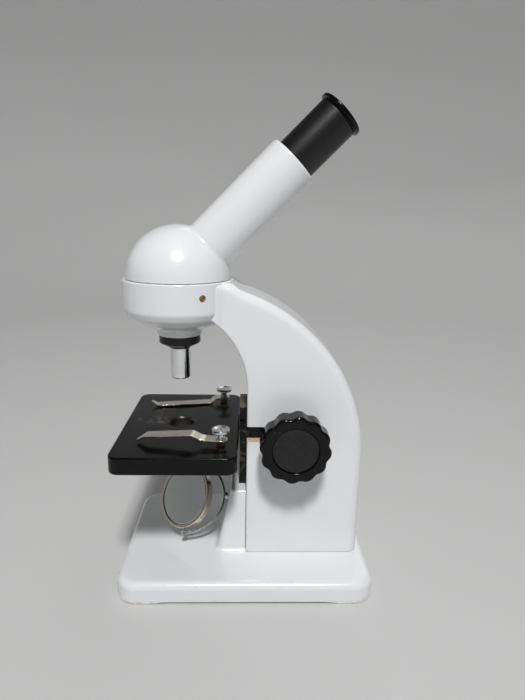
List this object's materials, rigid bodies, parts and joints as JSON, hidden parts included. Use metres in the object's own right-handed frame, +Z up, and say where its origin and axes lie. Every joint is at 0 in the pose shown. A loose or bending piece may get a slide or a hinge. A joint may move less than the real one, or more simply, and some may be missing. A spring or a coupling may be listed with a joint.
{
  "type": "kids microscope",
  "caption": "Small monocular microscope with a cast base and curved arm, turning dome head, inclined tube, rack-focused stage with spring clips and a tilting mirror.",
  "frame": {"origin": "middle of the base's footprint, on the surface that the microscope stands on", "axes": "+Z up; -X towards the front of the stage, +X towards the back of the arm; +Y towards the far focus knob, square to the plane of the arm"},
  "size_m": [0.141, 0.097, 0.2639],
  "materials": {
    "white_paint": "gloss",
    "black_paint": "gloss",
    "black_plastic": "gloss",
    "cap_plastic": "matte",
    "black_metal": "satin",
    "chrome": "polished",
    "nickel": "satin",
    "steel": "satin",
    "brass": "satin",
    "lens_glass": "polished",
    "mirror_glass": "polished"
  },
  "bodies": {
    "stand": {"base": "white_paint", "arm": "white_paint", "slide_guide": "black_paint", "objective_adapter": "black_metal", "objective_barrel": "chrome", "objective_lens": "lens_glass", "shaft_bush_near": "brass", "shaft_bush_far": "brass", "arm_screw_1": "steel", "arm_screw_2": "steel", "arm_screw_3": "steel", "arm_screw_4": "steel", "guide_screw_1": "steel", "guide_screw_2": "steel", "guide_screw_3": "steel", "guide_screw_4": "steel", "head_set_screw_1": "brass", "head_set_screw_2": "brass", "head_set_screw_3": "brass"},
    "stage_slide": {"carriage": "black_paint", "rack": "steel", "stage": "black_paint", "stage_screw_near": "steel", "stage_screw_far": "steel", "clip_post_near": "brass", "clip_post_far": "brass"},
    "focus_drive": {"focus_shaft": "steel", "pinion": "brass", "focus_knob_near": "black_plastic", "focus_knob_far": "black_plastic", "knob_cap_near": "cap_plastic", "knob_cap_far": "cap_plastic", "knob_grub_screw_near": "steel", "knob_grub_screw_far": "steel"},
    "near_clip": {"stage_clip_near": "nickel"},
    "far_clip": {"stage_clip_far": "nickel"},
    "near_clip_screw": {"clip_screw_near": "chrome"},
    "far_clip_screw": {"clip_screw_far": "chrome"},
    "viewing_head": {"head": "white_paint", "prism": "lens_glass", "prism_holder": "black_metal"},
    "draw_tube": {"draw_tube": "black_metal"},
    "eyepiece": {"eyepiece": "black_plastic", "eye_lens": "lens_glass", "field_lens": "lens_glass", "field_stop": "black_metal"},
    "mirror_fork": {"mirror_fork": "chrome", "mirror_pivot_near": "chrome", "mirror_pivot_far": "chrome"},
    "mirror": {"mirror_rim": "nickel", "mirror_glass": "mirror_glass", "mirror_back": "black_metal"}
  },
  "joints": [
    {"name": "stage_lift", "type": "slide", "parent": "stand", "child": "stage_slide", "axis": [0, 0, 1], "range_m": [0, 0.024]},
    {"name": "focus_turn", "type": "hinge", "parent": "stand", "child": "focus_drive", "pos_m": [0.0253, 0, 0.0865], "axis": [0, 1, 0], "range_deg": [-1, 288]},
    {"name": "near_clip_swing", "type": "hinge", "parent": "stage_slide", "child": "near_clip", "pos_m": [-0.0136, -0.033, 0.0894], "axis": [0, 0, 1], "range_deg": [-25, 45]},
    {"name": "far_clip_swing", "type": "hinge", "parent": "stage_slide", "child": "far_clip", "pos_m": [-0.0149, 0.033, 0.0894], "axis": [0, 0, 1], "range_deg": [-45, 10]},
    {"name": "near_clip_screw_turn", "type": "hinge", "parent": "stage_slide", "child": "near_clip_screw", "pos_m": [-0.0136, -0.033, 0.09], "axis": [0, 0, 1], "range_deg": [0, 360]},
    {"name": "far_clip_screw_turn", "type": "hinge", "parent": "stage_slide", "child": "far_clip_screw", "pos_m": [-0.0149, 0.033, 0.09], "axis": [0, 0, 1], "range_deg": [0, 360]},
    {"name": "head_turn", "type": "hinge", "parent": "stand", "child": "viewing_head", "pos_m": [-0.03814, 0, 0.17], "axis": [0, 0, 1], "continuous": true},
    {"name": "draw_tube_slide", "type": "slide", "parent": "viewing_head", "child": "draw_tube", "axis": [0.7071, 0, 0.7071], "range_m": [-0.028, 0.015]},
    {"name": "eyepiece_pull", "type": "slide", "parent": "draw_tube", "child": "eyepiece", "axis": [0.7071, 0, 0.7071], "range_m": [0, 0.03]},
    {"name": "mirror_swivel", "type": "hinge", "parent": "stand", "child": "mirror_fork", "pos_m": [-0.03634, 0, 0.0375], "axis": [1, 0, 0], "range_deg": [-110, 6]},
    {"name": "mirror_tilt", "type": "hinge", "parent": "mirror_fork", "child": "mirror", "pos_m": [-0.03634, 0, 0.0375], "axis": [0, 0.6157, 0.788], "continuous": true}
  ],
  "couplings": [
    {"joint": "focus_turn", "follows": "stage_lift", "rad_per_m": 208.33}
  ]
}
